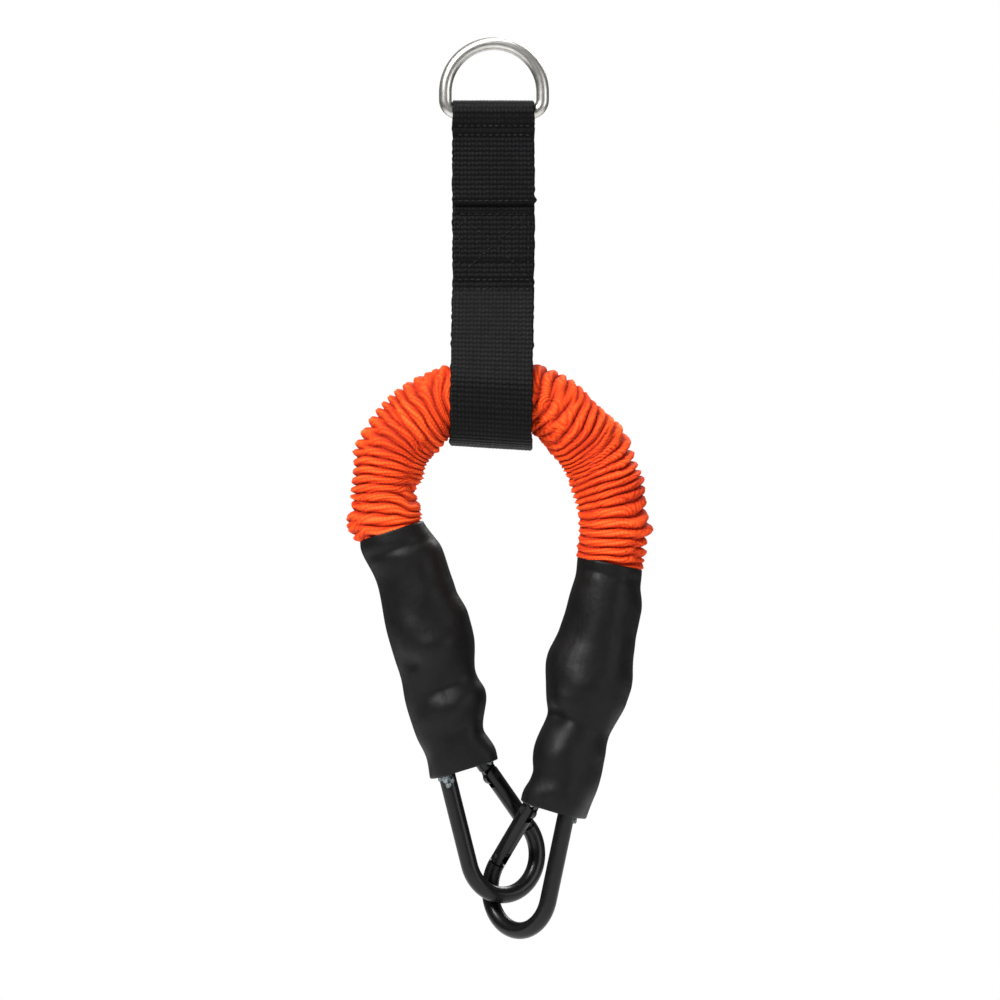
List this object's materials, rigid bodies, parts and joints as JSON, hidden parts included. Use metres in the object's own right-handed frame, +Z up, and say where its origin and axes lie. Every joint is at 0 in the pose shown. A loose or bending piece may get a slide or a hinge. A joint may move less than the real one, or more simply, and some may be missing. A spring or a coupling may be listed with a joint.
{
  "type": "elastic hook tether",
  "caption": "Elastic tether with a D-ring, a folding webbing strap and a sleeved bungee arch whose two heat-shrunk ends hold snap hooks clipped through each other.",
  "frame": {"origin": "upper inner bearing point of the D-ring, where the part hangs", "axes": "+Z up along the strap, +Y from the front with the strap's cut end to the back, +X across the strap to the right as seen from the front"},
  "size_m": [0.0899, 0.0332, 0.2708],
  "materials": {
    "ring_steel": "polished nickel plate",
    "webbing": "woven polypropylene webbing, black",
    "thread": "bonded sewing thread, black",
    "latex": "natural latex, matte",
    "sleeve": "knitted polyester tube, orange, bunched",
    "heat_shrink": "shrunk polyolefin, satin black",
    "hook_paint": "gloss black coating",
    "pin_steel": "blackened steel",
    "spring_steel": "plain spring steel",
    "plug_plastic": "moulded nylon, natural",
    "cord": "braided polyester cord",
    "adhesive": "hot-melt adhesive, frosty"
  },
  "bodies": {
    "ring": {"d_ring": "ring_steel"},
    "strap_upper": {"strap_webbing_upper": "webbing", "stitching_ring_end": "thread", "stitching_front_end": "thread", "stitching_cross_box": "thread", "stitching_loop_end": "thread"},
    "strap_loop": {"strap_webbing_loop": "webbing"},
    "tether": {"elastic_core": "latex", "fabric_sleeve": "sleeve", "heat_shrink_left": "heat_shrink", "sleeve_tie_left": "cord", "end_plug_left": "plug_plastic", "anchor_cord_left": "cord", "cord_whipping_left": "cord", "adhesive_bead_left": "adhesive", "hook_body_left": "hook_paint", "heat_shrink_right": "heat_shrink", "sleeve_tie_right": "cord", "end_plug_right": "plug_plastic", "anchor_cord_right": "cord", "cord_whipping_right": "cord", "adhesive_bead_right": "adhesive", "hook_body_right": "hook_paint"},
    "gate_left": {"gate_left": "hook_paint", "hinge_pin_left": "pin_steel", "latch_pin_left": "pin_steel", "gate_plunger_left": "pin_steel", "gate_spring_left": "spring_steel"},
    "gate_right": {"gate_right": "hook_paint", "hinge_pin_right": "pin_steel", "latch_pin_right": "pin_steel", "gate_plunger_right": "pin_steel", "gate_spring_right": "spring_steel"}
  },
  "joints": [
    {"name": "ring_swing", "type": "hinge", "parent": "ring", "child": "strap_upper", "pos_m": [0, 0, -0.0189], "axis": [1, 0, 0], "range_deg": [-145, 145]},
    {"name": "strap_fold", "type": "hinge", "parent": "strap_upper", "child": "strap_loop", "pos_m": [0, 0, -0.074], "axis": [1, 0, 0], "range_deg": [-115, 115]},
    {"name": "loop_slide", "type": "hinge", "parent": "strap_loop", "child": "tether", "pos_m": [0, 0, -0.1371], "axis": [0, 1, 0], "range_deg": [-42, 42]},
    {"name": "gate_left_open", "type": "hinge", "parent": "tether", "child": "gate_left", "pos_m": [-0.00054, 0.00897, -0.21796], "axis": [-0.5448, 0.8364, -0.0603], "range_deg": [0, 14], "stiffness_Nm_per_rad": 0.05, "springref_deg": -45.84},
    {"name": "gate_right_open", "type": "hinge", "parent": "tether", "child": "gate_right", "pos_m": [0.01029, 0.00336, -0.2282], "axis": [-0.6994, -0.7125, 0.0566], "range_deg": [0, 20], "stiffness_Nm_per_rad": 0.05, "springref_deg": -45.84}
  ]
}
